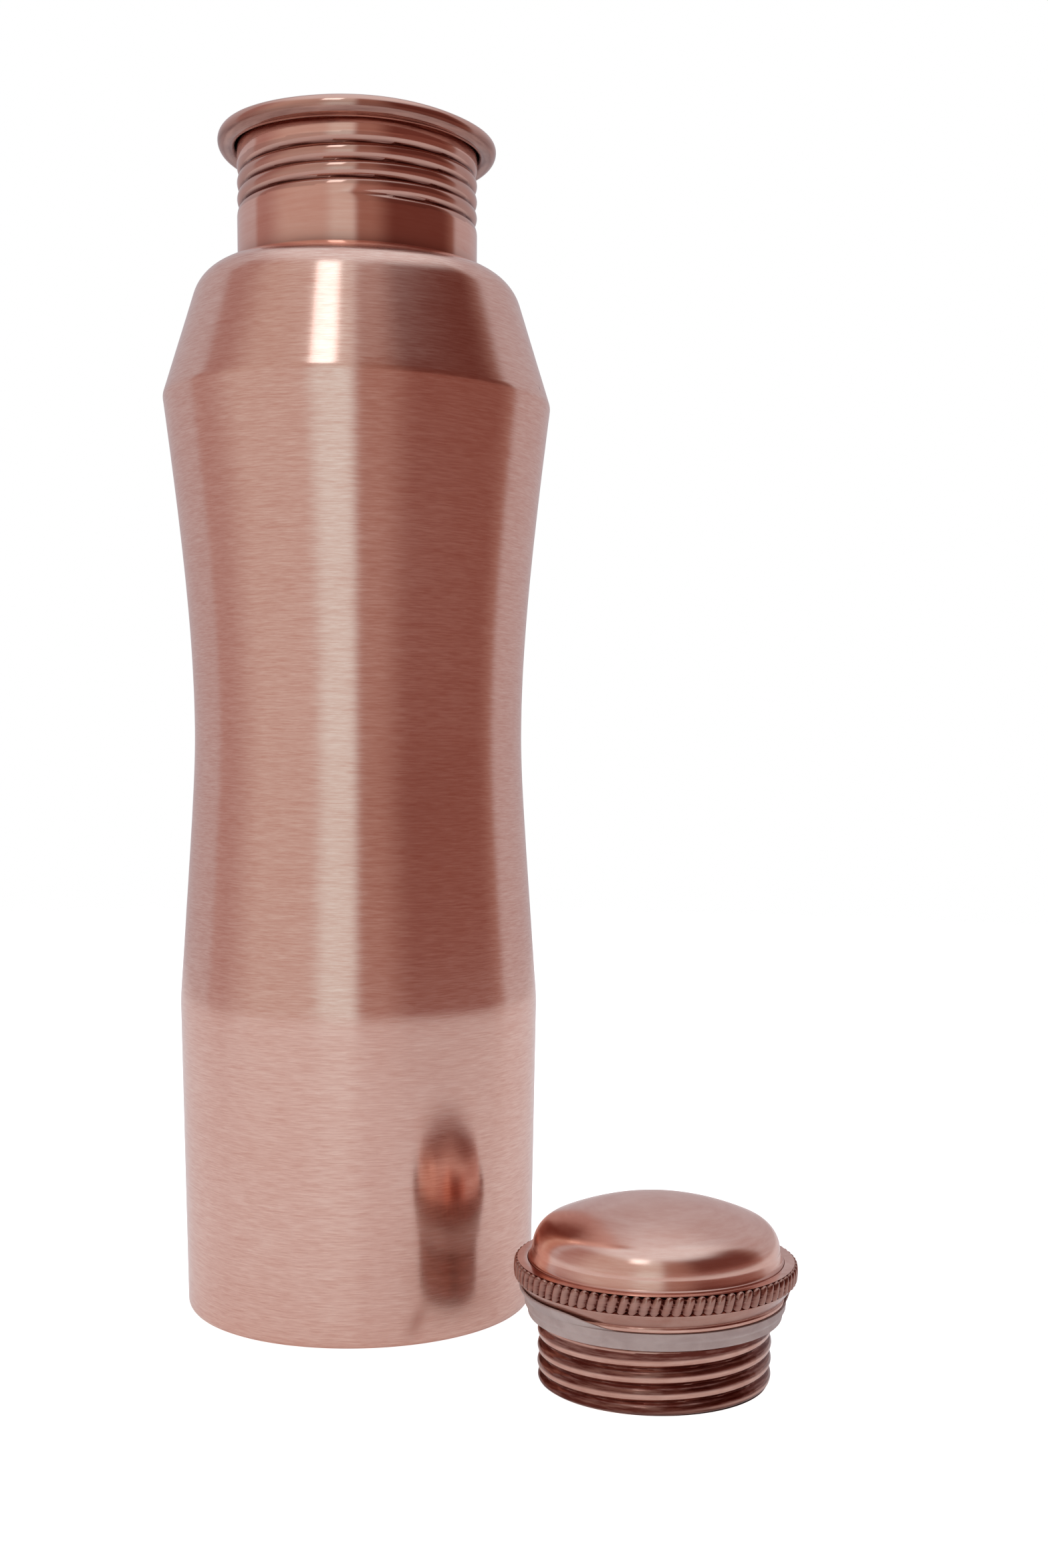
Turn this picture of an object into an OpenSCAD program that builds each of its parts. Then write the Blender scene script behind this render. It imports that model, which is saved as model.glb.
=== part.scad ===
// Copper water bottle with a waisted body, a rolled screw neck and a separate screw cap.
// The origin is on the bottle's axis, on the surface that it stands on. +Z is up, millimetres.

/* [Body] */
// Outer diameter at the shoulder crease
crease_d = 80; // [66:0.5:96]
// Outer diameter at the waist
waist_d = 69; // [56:0.5:84]
// Outer diameter at the hip
hip_d = 76.6; // [62:0.5:92]
// Outer diameter just above the foot
foot_d = 75.2; // [62:0.2:92]
// Height of the shoulder crease
crease_h = 192; // [158:1:240]
// Height of the waist
waist_h = 125; // [100:1:150]
// Height of the hip
hip_h = 68; // [50:1:84]
// Rise of the shoulder from its crease to the foot of the neck
shoulder_h = 26.2; // [20:0.1:34]
// Radius where the shoulder turns in to the neck
shoulder_r = 9; // [5:0.5:12]
// Radius of the foot's outer edge
foot_r = 2; // [1.4:0.1:3]
// Sheet thickness of the body
body_wall = 0.6; // [0.5:0.1:1.2]

/* [Neck] */
// Outer diameter of the neck
neck_d = 49; // [40.5:0.5:59]
// Rise of the neck from the shoulder to the top of the lip
neck_h = 26.3; // [22:0.1:36]
// Wall of the neck
neck_wall = 0.8; // [0.7:0.1:1.2]
// Length of the neck that is held inside the shoulder
neck_tail = 8; // [4:0.5:12]
// Thickness of the rolled lip
lip_t = 3.8; // [3:0.1:4.6]

/* [Thread] */
// Pitch of the thread
thread_pitch = 3.2; // [2.6:0.1:4]
// Depth of the groove rolled into the neck
thread_depth = 1.4; // [1.2:0.1:1.6]
// Height of the thread's lower end above the shoulder
thread_rise = 9.1; // [6:0.1:10]
// Height of the plain mouth between the thread and the lip
mouth_h = 3.3; // [3:0.1:6]
// Radial gap between the plug's crests and the bore of the neck
plug_gap = 0.9; // [0.7:0.05:1.1]

/* [Cap] */
// Height of the threaded plug
plug_h = 12.9; // [10:0.1:16]
// Wall of the plug's sleeve
sleeve_wall = 1; // [0.8:0.1:1.6]
// Thickness of the gasket
gasket_h = 3.7; // [2.5:0.1:4.5]
// How far the milled edge stands out beyond the neck
flange_over = 3; // [2.4:0.1:5]
// Height of the plain band under the milled edge
band_h = 3.7; // [2.5:0.1:5]
// Height of the milled edge
mill_h = 3.7; // [2.5:0.1:5]
// Number of flutes in the milled edge
mill_count = 84; // [60:1:100]
// Height of the dome above the milled edge
dome_h = 12; // [9.5:0.1:16]
// Radius of the dome's shoulder
dome_r = 6; // [3:0.5:7]
// Width of the flat ledge round the dome
ledge_w = 2.7; // [1.8:0.1:3.2]
// Sheet thickness of the dome
dome_wall = 0.8; // [0.6:0.1:1.2]

/* [Layout] */
// Where the cap is
cap_place = "beside"; // [beside, on_bottle]
// Clear space between the crease and the milled edge when the cap stands beside the bottle
cap_clear = 12.9; // [5:0.1:40]
// Direction from the bottle to the cap standing beside it, in degrees
cap_bearing = -38.4; // [-180:0.1:180]
// How far the cap standing beside the bottle is turned, in degrees
cap_turned = 169; // [0:1:359]

/* [Hidden] */
$fn = 96;

copper = "#c98d78";
silicone = "#c9c4c6";

// Body radii and levels
crease_r = crease_d / 2;
waist_r = waist_d / 2;
hip_r = hip_d / 2;
side_r = foot_d / 2;
shoulder_top = crease_h + shoulder_h;
upper_soft = 0.6;                     // how softly the waist opens towards the crease
lower_soft = 0.2;                     // how softly it opens towards the hip
curve_steps = 12;
rim_w = 1.6;                          // flat width of the foot's turned-in rim
collar_h = 3.4;                       // turned-down collar that holds the neck
land_w = 7;                           // shoulder top, from the neck to where the cone would meet it
land_spare = 0.4;                     // flat that is always left between the neck and the shoulder's curve

// Neck and lip
neck_r = neck_d / 2;
bore_r = neck_r - neck_wall;
mouth_relief = 0.3;                   // how much wider the mouth is than the bore, so the plug starts easily
mouth_r = bore_r + mouth_relief;
lip_top = shoulder_top + neck_h;
lip_r = lip_t / 2;
lip_ring_r = neck_r + lip_r;
lip_z = lip_top - lip_r;

// Thread form, shared by the neck's inner ridge and the plug's groove
turn_steps = 40;
ridge_tip_r = bore_r - thread_depth;
ridge_tip_w = 0.31 * thread_pitch;
ridge_base_w = 0.62 * thread_pitch;
groove_tip_w = 0.13 * thread_pitch;
groove_mouth_w = 0.4 * thread_pitch;
thread_z = shoulder_top + thread_rise;
thread_start = 262;                   // bearing of the neck thread's lower end
mouth_z = lip_z - mouth_h;
thread_turns = (mouth_z - ridge_base_w / 2 - thread_z) / thread_pitch;
thread_gap = 0.2;                     // flank gap between ridge and plug
root_gap = 0.4;                       // gap between the ridge's tip and the plug's groove floor
run_out = 0.12;                       // turns over which the thread fades at each end
fade_least = 0.04;                    // share of the depth left at the very end, so a cutter stays a solid
back = 0.3;                           // how far a cutter or a ridge reaches past its surface

// Cap, measured up from the plug's lower end
crest_r = bore_r - plug_gap;
root_r = ridge_tip_r - root_gap;
sleeve_step = 0.1;                    // how far the plain sleeve is below the plug's groove floor
sleeve_r = root_r - sleeve_step;
gasket_gap = 0.1;                     // room for the cap to turn inside the gasket
gasket_hole_r = sleeve_r + gasket_gap;
gasket_over = 0.7;                    // how far the gasket stands out beyond the neck
gasket_step = 0.5;                    // how much narrower its lower half is
gasket_edge = 0.4;                    // chamfer of its corners
gasket_r = neck_r + gasket_over;
gasket_low_r = gasket_r - gasket_step;
plug_floor = 1.4;
plug_edge = 0.9;                      // rounded lower edge of the plug
plug_land = 1.2;                      // plain length above the plug's thread
flange_r = neck_r + flange_over;
band_z = plug_h + gasket_h;
mill_z = band_z + band_h;
ledge_z = mill_z + mill_h;
rebate_h = 1.5;                       // depth that the dome is let into the flange
dome_foot_r = flange_r - ledge_w;
dome_lean = 0.8;                      // how much the dome's side draws in below its shoulder
dome_side_h = 2;
flute_depth = 0.5;
flute_cutter_r = 0.6;
flute_over = 0.5;                     // how far the cutter runs past the milled edge at each end
band_inset = 0.3;                     // how far the band's upper edge stays inside the flutes
mill_chamfer = 0.4;

// Where the cap goes. Screwed on, the gasket's lower edge rests on the inner curve of the lip: with its
// chamfer where that reaches the curve's 45 degree point, and with its flat underside where it doesn't.
touch_in = mouth_r + lip_r - gasket_low_r + gasket_edge;
touch_rise = touch_in > lip_r / sqrt(2)
    ? lip_r * sqrt(2) - touch_in
    : sqrt(lip_r * lip_r - pow(max(0, touch_in), 2));
closed_z = lip_z + touch_rise - plug_h - gasket_gap;
plug_thread_z = -thread_pitch / 2;    // the groove runs out through the plug's lower end
plug_turns = (plug_h - plug_land - plug_thread_z) / thread_pitch;
closed_turn = thread_start + 360 * (plug_thread_z + closed_z - thread_z) / thread_pitch;
cap_reach = max(crease_r, hip_r, side_r, lip_ring_r + lip_r) + cap_clear + flange_r;
beside_pos = [cap_reach * cos(cap_bearing), cap_reach * sin(cap_bearing), 0];

// 0 at the waist and 1 at the end of the flare; soft sets how round the waist is
function flare(t, soft) = (sqrt(t * t + soft * soft) - soft) / (sqrt(1 + soft * soft) - soft);

// Points of an arc about a centre, from one angle to another
function arc(centre, r, from, to, steps) =
    [for (i = [0:steps]) let (a = from + (to - from) * i / steps) centre + r * [cos(a), sin(a)]];

// Outline of the body's outer face moved inwards by d, from the foot to the collar
shoulder_turn = 90 - atan((crease_r - neck_r - land_w) / shoulder_h);
shoulder_fit = min(shoulder_r, (land_w - land_spare) / tan(shoulder_turn / 2));
shoulder_end = neck_r + land_w - shoulder_fit * tan(shoulder_turn / 2);
shoulder_centre = [shoulder_end, shoulder_top - shoulder_fit];
function body_line(d) = concat(
    arc([side_r - foot_r, foot_r], foot_r - d, -90, 0, 6),
    [for (i = [0:curve_steps]) let (t = 1 - i / curve_steps)
        [waist_r + (hip_r - waist_r) * flare(t, lower_soft) - d, waist_h - (waist_h - hip_h) * t]],
    [for (i = [1:curve_steps]) let (t = i / curve_steps)
        [waist_r + (crease_r - waist_r) * flare(t, upper_soft) - d, waist_h + (crease_h - waist_h) * t]],
    arc(shoulder_centre, shoulder_fit - d, 90 - shoulder_turn, 90, 10));

// How deep the thread is at a turn t of a thread that has n turns
function fade(t, n) = max(fade_least, min(1, t / run_out, (n - t) / run_out));

// A helical bar of four-sided section. Its two far corners stay at far_r; its tip goes to tip_r.
module helix_bar(face_r, far_r, tip_r, face_w, tip_w, z, turns) {
    steps = ceil(turns * turn_steps);
    slope = (face_w - tip_w) / 2 / (face_r - tip_r);
    sections = [for (i = [0:steps])
        let (t = turns * i / steps, a = 360 * t, h = z + thread_pitch * t,
             tip = face_r + (tip_r - face_r) * fade(t, turns),
             far_half = tip_w / 2 + slope * (far_r - tip),
             c = cos(a), s = sin(a))
        [[far_r * c, far_r * s, h - far_half], [far_r * c, far_r * s, h + far_half],
         [tip * c, tip * s, h + tip_w / 2], [tip * c, tip * s, h - tip_w / 2]]];
    points = [for (section = sections) for (p = section) p];
    sides = [for (i = [0:steps - 1]) for (k = [0:3])
        let (a = 4 * i + k, b = 4 * i + (k + 1) % 4)
        each [[a, b, b + 4], [a, b + 4, a + 4]]];
    polyhedron(points, concat([[3, 2, 1, 0]], sides,
        [[4 * steps, 4 * steps + 1, 4 * steps + 2, 4 * steps + 3]]));
}

// Carries the cap's pieces from their own frame to where the cap is
module at_cap() {
    if (cap_place == "on_bottle")
        translate([0, 0, closed_z]) rotate([0, 0, closed_turn]) children();
    else
        translate(beside_pos) rotate([0, 0, cap_turned]) children();
}

// Spun sheet body: turned-in rim, foot, waist, crease, shoulder and the collar round the neck
module body_shell() {
    outer = body_line(0);
    inner = body_line(body_wall);
    count = len(outer);
    collar_z = shoulder_top - collar_h;
    color(copper)
        rotate_extrude()
            polygon(concat(
                [[side_r - foot_r - rim_w, 0]],
                outer,
                [[neck_r, shoulder_top], [neck_r, collar_z], [neck_r + body_wall, collar_z],
                 [neck_r + body_wall, shoulder_top - body_wall]],
                [for (i = [count - 1:-1:0]) if (inner[i][0] > neck_r + body_wall) inner[i]],
                [[side_r - foot_r - rim_w, body_wall]]));
}

// Pressed disc that closes the bottom; its edge lies on the body's rim
module base_plate() {
    plate_t = 0.8;
    plate_gap = 0.1;
    plate_r = side_r - foot_r - plate_gap;
    flat_w = 3.5;
    step_w = 2.5;
    step_h = 2;
    color(copper)
        rotate_extrude()
            polygon([
                [0, body_wall + step_h],
                [plate_r - flat_w - step_w, body_wall + step_h],
                [plate_r - flat_w, body_wall],
                [plate_r, body_wall],
                [plate_r, body_wall + plate_t],
                [plate_r - flat_w, body_wall + plate_t],
                [plate_r - flat_w - step_w, body_wall + step_h + plate_t],
                [0, body_wall + step_h + plate_t]]);
}

// Neck tube with the thread rolled into it and the edge rolled out into a bead
module neck() {
    color(copper)
        difference() {
            union() {
                rotate_extrude()
                    polygon(concat(
                        [[bore_r, shoulder_top - neck_tail], [neck_r, shoulder_top - neck_tail],
                         [neck_r, lip_z]],
                        arc([lip_ring_r, lip_z], lip_r, 180, 450, 20),
                        arc([mouth_r + lip_r, lip_z], lip_r, 90, 180, 8),
                        [[mouth_r, mouth_z], [bore_r, mouth_z]]));
                rotate([0, 0, thread_start])
                    helix_bar(bore_r, bore_r + back, ridge_tip_r, ridge_base_w, ridge_tip_w,
                        thread_z, thread_turns);
            }
            rotate([0, 0, thread_start])
                helix_bar(neck_r, neck_r + back, neck_r - thread_depth, groove_mouth_w, groove_tip_w,
                    thread_z, thread_turns);
        }
}

// Threaded cup with a closed lower end and a plain sleeve that holds the gasket and the flange
module cap_plug() {
    wall_r = sleeve_r - sleeve_wall;
    top_w = 0.4;
    top_h = 0.6;
    ridge_slope = (ridge_base_w - ridge_tip_w) / thread_depth;
    plug_floor_w = ridge_tip_w - root_gap * ridge_slope + 2 * thread_gap;
    plug_mouth_w = plug_floor_w + (crest_r - root_r) * ridge_slope;
    at_cap() color(copper)
        difference() {
            rotate_extrude()
                polygon(concat(
                    [[0, 0]],
                    arc([crest_r - plug_edge, plug_edge], plug_edge, -90, 0, 6),
                    [[crest_r, plug_h - top_h], [crest_r - top_w, plug_h], [sleeve_r, plug_h],
                     [sleeve_r, ledge_z - rebate_h], [wall_r, ledge_z - rebate_h],
                     [wall_r, plug_floor], [0, plug_floor]]));
            helix_bar(crest_r, crest_r + back, root_r, plug_mouth_w, plug_floor_w,
                plug_thread_z, plug_turns);
        }
}

// Silicone ring, loose on the sleeve between the thread and the flange
module gasket() {
    low = plug_h + gasket_gap;
    high = band_z - gasket_gap;
    draft = 0.1;
    step_low = (low + high) / 2 - 0.1;
    step_high = step_low + 0.3;
    at_cap() color(silicone)
        rotate_extrude()
            polygon([
                [gasket_hole_r, low],
                [gasket_low_r - gasket_edge, low],
                [gasket_low_r, low + gasket_edge],
                [gasket_low_r + draft, step_low],
                [gasket_r, step_high],
                [gasket_r, high - gasket_edge],
                [gasket_r - gasket_edge, high],
                [gasket_hole_r, high]]);
}

// Turned ring with the milled edge, a ledge that takes the dome, and a band that tapers to the gasket
module cap_flange() {
    bead_w = 0.1;
    bead_h = 0.8;
    bead_foot_h = 1;
    band_low_r = gasket_r - bead_w;
    band_high_r = flange_r - flute_depth - band_inset;
    at_cap() color(copper)
        difference() {
            rotate_extrude()
                polygon([
                    [sleeve_r, band_z], [band_low_r, band_z], [band_low_r + bead_w, band_z + bead_h],
                    [band_low_r - bead_w, band_z + bead_foot_h], [band_high_r, mill_z],
                    [flange_r - mill_chamfer, mill_z], [flange_r, mill_z + mill_chamfer],
                    [flange_r, ledge_z - mill_chamfer], [flange_r - mill_chamfer, ledge_z],
                    [dome_foot_r, ledge_z], [dome_foot_r, ledge_z - rebate_h],
                    [sleeve_r, ledge_z - rebate_h]]);
            for (i = [0:mill_count - 1])
                rotate([0, 0, 360 * i / mill_count])
                    translate([flange_r - flute_depth + flute_cutter_r, 0, mill_z - flute_over])
                        cylinder(r = flute_cutter_r, h = mill_h + 2 * flute_over, $fn = 24);
        }
}

// Pressed dome, let into the flange
module cap_dome() {
    side_top_r = dome_foot_r - dome_lean;
    side_top_z = ledge_z + dome_side_h;
    shoulder_end_deg = 66;
    crown_r = side_top_r - dome_r * (1 - cos(shoulder_end_deg));
    crown_z = side_top_z + dome_r * sin(shoulder_end_deg);
    top_z = ledge_z + dome_h;
    crown_steps = 8;
    function dome_line(d) = concat(
        arc([side_top_r - dome_r, side_top_z], dome_r - d, 0, shoulder_end_deg, 8),
        [for (i = [crown_steps - 1:-1:0]) let (t = i / crown_steps)
            [crown_r * t, top_z - d - (top_z - crown_z) * t * t]]);
    inner = dome_line(dome_wall);
    at_cap() color(copper)
        rotate_extrude()
            polygon(concat(
                [[dome_foot_r - dome_wall, ledge_z - rebate_h], [dome_foot_r, ledge_z - rebate_h],
                 [dome_foot_r, ledge_z]],
                dome_line(0),
                [for (i = [len(inner) - 1:-1:0]) inner[i]],
                [[dome_foot_r - dome_wall, ledge_z]]));
}

body_shell();
base_plate();
neck();
cap_plug();
gasket();
cap_flange();
cap_dome();
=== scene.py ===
import math

import bmesh
import bpy
import numpy as np
from mathutils import Matrix, Vector


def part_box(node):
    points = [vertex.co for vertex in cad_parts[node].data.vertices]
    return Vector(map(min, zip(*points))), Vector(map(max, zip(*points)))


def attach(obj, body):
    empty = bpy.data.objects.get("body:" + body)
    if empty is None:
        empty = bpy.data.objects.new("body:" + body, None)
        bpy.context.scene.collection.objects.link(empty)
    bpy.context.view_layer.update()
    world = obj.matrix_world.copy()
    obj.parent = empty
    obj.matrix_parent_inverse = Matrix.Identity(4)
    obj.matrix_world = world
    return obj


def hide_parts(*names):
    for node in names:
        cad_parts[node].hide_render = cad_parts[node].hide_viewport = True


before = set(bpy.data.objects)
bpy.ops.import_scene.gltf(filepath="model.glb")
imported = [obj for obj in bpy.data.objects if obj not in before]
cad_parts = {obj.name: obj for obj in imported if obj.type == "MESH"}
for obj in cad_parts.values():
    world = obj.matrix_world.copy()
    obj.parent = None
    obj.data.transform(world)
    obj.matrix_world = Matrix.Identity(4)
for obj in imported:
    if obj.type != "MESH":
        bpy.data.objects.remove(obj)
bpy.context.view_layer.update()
mm = 0.001
turn = 2 * math.pi
print("CAD frame loaded")


# turned pieces: every line is a list of (radius, height) in millimetres

def flare(t, soft):
    return (math.sqrt(t * t + soft * soft) - soft) / (math.sqrt(1 + soft * soft) - soft)


def arc(centre, radius, start, end, steps=14):
    angles = np.radians(np.linspace(start, end, steps + 1))
    return [(centre[0] + radius * math.cos(a), centre[1] + radius * math.sin(a)) for a in angles]


def softCorners(corners, steps=8):
    # corners are (radius, height, size of the rounding); 0 leaves the corner as it is
    line = []
    for i, (r, z, size) in enumerate(corners):
        here = np.array([r, z], float)
        if size == 0 or i == 0 or i == len(corners) - 1:
            line.append(tuple(here))
            continue
        back = np.array(corners[i - 1][:2]) - here
        ahead = np.array(corners[i + 1][:2]) - here
        cutBack = min(size, 0.48 * np.linalg.norm(back))
        cutAhead = min(size, 0.48 * np.linalg.norm(ahead))
        first = here + back / np.linalg.norm(back) * cutBack
        last = here + ahead / np.linalg.norm(ahead) * cutAhead
        for t in np.linspace(0, 1, steps + 1):
            line.append(tuple((1 - t) ** 2 * first + 2 * t * (1 - t) * here + t * t * last))
    return line


def divided(a, b, count):
    return [(a[0] + (b[0] - a[0]) * k / count, a[1] + (b[1] - a[1]) * k / count) for k in range(1, count + 1)]


def closer(line, step):
    # adds points so that no stretch is longer than the step
    out = [line[0]]
    for a, b in zip(line[:-1], line[1:]):
        count = max(1, math.ceil(math.dist(a, b) / step))
        out += divided(a, b, count)
    return out


def spin(name, line, columns, centre=(0, 0), shape=None, ring=True):
    # turns the line about the axis
    # shape(angle, radius, height) moves its points and gives each point's painted shade, which on the body
    # also holds a small stain
    line = np.array(line, float)
    rows = len(line)
    angle = np.repeat(np.arange(columns) * turn / columns, rows)
    radius, height = np.tile(line[:, 0], columns), np.tile(line[:, 1], columns)
    paintedShadeAndStain = np.zeros_like(radius)
    if shape:
        radius, height, paintedShadeAndStain = shape(angle, radius, height)
    x = centre[0] + radius * np.cos(angle)
    y = centre[1] + radius * np.sin(angle)
    points = np.column_stack([x, y, height]) * mm
    i, j = np.meshgrid(np.arange(columns), np.arange(rows if ring else rows - 1), indexing="ij")
    nextI, nextJ = (i + 1) % columns, (j + 1) % rows
    corners = [i * rows + j, nextI * rows + j, nextI * rows + nextJ, i * rows + nextJ]
    quads = np.stack(corners, axis=-1).reshape(-1, 4)
    mesh = bpy.data.meshes.new(name)
    mesh.from_pydata(points.tolist(), [], quads.tolist())
    mesh.attributes.new("paintedShadeAndStain", "FLOAT", "POINT").data.foreach_set("value", paintedShadeAndStain)
    work = bmesh.new()
    work.from_mesh(mesh)
    bmesh.ops.remove_doubles(work, verts=work.verts, dist=1e-7)
    bmesh.ops.recalc_face_normals(work, faces=work.faces)
    work.to_mesh(mesh)
    work.free()
    mesh.shade_smooth()
    mesh.set_sharp_from_angle(angle=math.radians(38))
    piece = bpy.data.objects.new(name, mesh)
    bpy.context.scene.collection.objects.link(piece)
    return piece


def ripple(angle, height, seed, rounds, along):
    # slow unevenness of hand work, about -1 to 1; rounds is waves in a turn, along is waves in a millimetre
    draw = np.random.default_rng(seed)
    total = np.zeros_like(angle)
    for k in range(6):
        waves = round(draw.uniform(1, rounds))
        pitch = draw.uniform(-along, along)
        total += np.sin(waves * angle + turn * pitch * height + draw.uniform(0, turn))
    return total / 3


def fit(piece, body, node, material):
    piece.data.materials.append(material)
    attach(piece, body)
    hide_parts(node)
    print(piece.name, len(piece.data.polygons), "faces")


def addNode(tree, kind, **values):
    made = tree.nodes.new(kind)
    for key, value in values.items():
        setattr(made, key, value)
    return made


def join(tree, source, target):
    tree.links.new(source, target)


def newGroup(name, inputs, outputs):
    group = bpy.data.node_groups.new(name, "ShaderNodeTree")
    for label, kind, default in inputs:
        made = group.interface.new_socket(label, in_out="INPUT", socket_type=kind)
        made.default_value = default
    for label, kind in outputs:
        group.interface.new_socket(label, in_out="OUTPUT", socket_type=kind)
    return group, group.nodes.new("NodeGroupInput"), group.nodes.new("NodeGroupOutput")


def mathNode(tree, operation, a, b=None, c=None, clamp=False):
    made = addNode(tree, "ShaderNodeMath", operation=operation, use_clamp=clamp)
    for slot, value in zip(made.inputs, (a, b, c)):
        if value is None:
            continue
        if isinstance(value, (int, float)):
            slot.default_value = value
        else:
            join(tree, value, slot)
    return made.outputs[0]


def mixColor(tree, factor, a, b, blend="MIX"):
    made = addNode(tree, "ShaderNodeMix", data_type="RGBA", blend_type=blend)
    for slot, value in zip((made.inputs[0], made.inputs[6], made.inputs[7]), (factor, a, b)):
        if isinstance(value, (int, float)):
            slot.default_value = value
        elif isinstance(value, tuple):
            slot.default_value = (*value, 1)
        else:
            join(tree, value, slot)
    return made.outputs[2]


def stretched(tree, across, along):
    # object coordinates, drawn out round the axis: across sets the size round it, along the size up it
    where = addNode(tree, "ShaderNodeTexCoord").outputs["Object"]
    size = addNode(tree, "ShaderNodeCombineXYZ")
    for slot, value in zip(size.inputs, (across, across, along)):
        join(tree, value, slot)
    scaled = addNode(tree, "ShaderNodeVectorMath", operation="MULTIPLY")
    join(tree, where, scaled.inputs[0])
    join(tree, size.outputs[0], scaled.inputs[1])
    return scaled.outputs[0]


def makeLatheMarks():
    # fine marks that run round the piece, with a height for the bump and a shade for colour and roughness
    group, ins, outs = newGroup(
        "latheMarks",
        [("Round", "NodeSocketFloat", 60), ("Up", "NodeSocketFloat", 2600),
         ("Coarse Up", "NodeSocketFloat", 500)],
        [("Height", "NodeSocketFloat"), ("Shade", "NodeSocketFloat")])
    fine = addNode(group, "ShaderNodeTexNoise")
    fine.inputs["Scale"].default_value = 1
    fine.inputs["Detail"].default_value = 3
    fine.inputs["Roughness"].default_value = 0.65
    join(group, stretched(group, ins.outputs["Round"], ins.outputs["Up"]), fine.inputs["Vector"])
    coarse = addNode(group, "ShaderNodeTexNoise")
    coarse.inputs["Scale"].default_value = 1
    coarse.inputs["Detail"].default_value = 2
    longer = mathNode(group, "MULTIPLY", ins.outputs["Round"], 0.35)
    join(group, stretched(group, longer, ins.outputs["Coarse Up"]), coarse.inputs["Vector"])
    mostlyFine = mathNode(group, "MULTIPLY", fine.outputs["Fac"], 0.75)
    both = mathNode(group, "MULTIPLY_ADD", coarse.outputs["Fac"], 0.25, mostlyFine)
    join(group, both, outs.inputs["Height"])
    shade = addNode(group, "ShaderNodeMapRange")
    shade.inputs["From Min"].default_value = 0.35
    shade.inputs["From Max"].default_value = 0.65
    join(group, both, shade.inputs["Value"])
    join(group, shade.outputs[0], outs.inputs["Shade"])
    return group


def makeHandledTone():
    # cloudy darkening from handling and air, drawn out a little round the piece
    group, ins, outs = newGroup(
        "handledTone",
        [("Clean", "NodeSocketColor", (0.9, 0.6, 0.5, 1)),
         ("Dulled", "NodeSocketColor", (0.8, 0.45, 0.35, 1)),
         ("Size", "NodeSocketFloat", 40), ("Amount", "NodeSocketFloat", 0.5)],
        [("Color", "NodeSocketColor"), ("Mask", "NodeSocketFloat")])
    cloud = addNode(group, "ShaderNodeTexNoise")
    cloud.inputs["Scale"].default_value = 1
    cloud.inputs["Detail"].default_value = 5
    cloud.inputs["Roughness"].default_value = 0.6
    cloud.inputs["Distortion"].default_value = 0.6
    up = mathNode(group, "MULTIPLY", ins.outputs["Size"], 1.6)
    join(group, stretched(group, ins.outputs["Size"], up), cloud.inputs["Vector"])
    ramp = addNode(group, "ShaderNodeMapRange", interpolation_type="SMOOTHSTEP")
    ramp.inputs["From Min"].default_value = 0.38
    ramp.inputs["From Max"].default_value = 0.68
    join(group, cloud.outputs["Fac"], ramp.inputs["Value"])
    mask = mathNode(group, "MULTIPLY", ramp.outputs[0], ins.outputs["Amount"], clamp=True)
    join(group, mask, outs.inputs["Mask"])
    join(group, mixColor(group, mask, ins.outputs["Clean"], ins.outputs["Dulled"]), outs.inputs["Color"])
    return group


def makeSpecks():
    # sparse small pits and spots
    group, ins, outs = newGroup(
        "specks",
        [("Size", "NodeSocketFloat", 90), ("Spread", "NodeSocketFloat", 0.12)],
        [("Mask", "NodeSocketFloat")])
    cells = addNode(group, "ShaderNodeTexVoronoi", feature="F1")
    where = addNode(group, "ShaderNodeTexCoord").outputs["Object"]
    join(group, where, cells.inputs["Vector"])
    join(group, ins.outputs["Size"], cells.inputs["Scale"])
    some = addNode(group, "ShaderNodeSeparateColor")
    join(group, cells.outputs["Color"], some.inputs[0])
    chosen = mathNode(group, "GREATER_THAN", some.outputs[0], 0.82)
    share = mathNode(group, "DIVIDE", cells.outputs["Distance"], ins.outputs["Spread"])
    near = mathNode(group, "SUBTRACT", 1, share, clamp=True)
    join(group, mathNode(group, "MULTIPLY", near, chosen), outs.inputs["Mask"])
    return group


latheMarks = makeLatheMarks()
handledTone = makeHandledTone()
specks = makeSpecks()


def useGroup(tree, group, **values):
    made = addNode(tree, "ShaderNodeGroup", node_tree=group)
    for key, value in values.items():
        label = {"Coarse": "Coarse Up"}.get(key, key)
        made.inputs[label].default_value = (*value, 1) if isinstance(value, tuple) else value
    return made


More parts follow.
